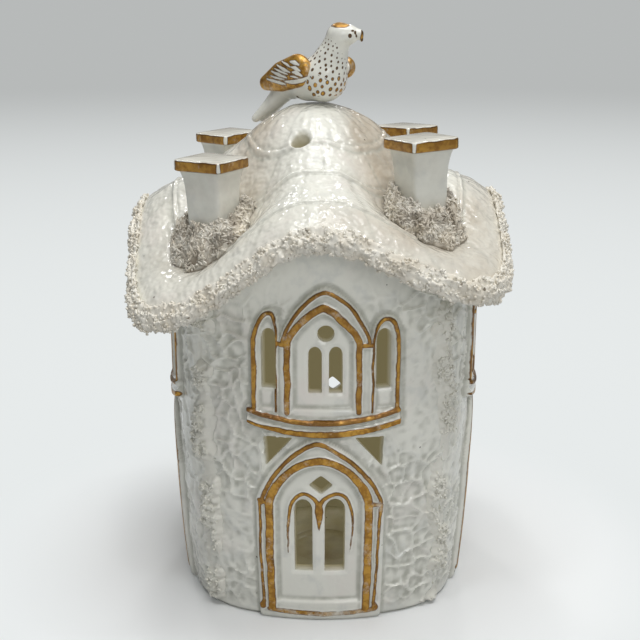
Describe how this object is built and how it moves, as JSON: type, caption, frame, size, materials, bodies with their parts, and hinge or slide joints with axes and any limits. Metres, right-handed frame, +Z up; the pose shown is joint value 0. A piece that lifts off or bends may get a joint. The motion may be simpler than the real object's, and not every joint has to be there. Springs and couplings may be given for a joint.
{
  "type": "pastille burner",
  "caption": "Porcelain cottage pastille burner: pierced square tower with ogee thatched roof, chimneys, clay moss and a bird, lifting off a low pastille stand.",
  "frame": {"origin": "centre of the burner's footprint, on the surface that it stands on", "axes": "+Z up, the front wall faces -Y and +X is to the right of someone facing the front"},
  "size_m": [0.0906, 0.0904, 0.1357],
  "materials": {
    "white_glaze": "clear glossy glaze over warm white porcelain",
    "gilt_glaze": "glossy white glaze with hand-brushed worn gilding on the mouldings",
    "chimney_glaze": "glossy white glaze with a brushed gilt cap edge",
    "shredded_clay": "rough shredded clay, thinly glazed, with dark specks",
    "bird_glaze": "glossy white glaze with small gilt and brown spots",
    "bird_gilding": "brushed gilding with white streaks"
  },
  "bodies": {
    "stand": {"pastille_stand": "white_glaze"},
    "house": {"roof": "white_glaze", "wall_front": "gilt_glaze", "wall_right": "gilt_glaze", "wall_back": "gilt_glaze", "wall_left": "gilt_glaze", "eave_moss_front": "shredded_clay", "eave_moss_right": "shredded_clay", "eave_moss_back": "shredded_clay", "eave_moss_left": "shredded_clay", "corner_creeper_front_left": "shredded_clay", "corner_creeper_front_right": "shredded_clay", "corner_creeper_back_right": "shredded_clay", "corner_creeper_back_left": "shredded_clay", "chimney_front_left": "chimney_glaze", "chimney_front_right": "chimney_glaze", "chimney_back_right": "chimney_glaze", "chimney_back_left": "chimney_glaze", "chimney_moss_front_left": "shredded_clay", "chimney_moss_front_right": "shredded_clay", "chimney_moss_back_right": "shredded_clay", "chimney_moss_back_left": "shredded_clay", "bird_body": "bird_glaze", "bird_right_wing": "bird_gilding", "bird_left_wing": "bird_gilding"}
  },
  "joints": [
    {"name": "house_lift", "type": "slide", "parent": "stand", "child": "house", "axis": [0, 0, 1], "range_m": [0, 0.16]}
  ]
}
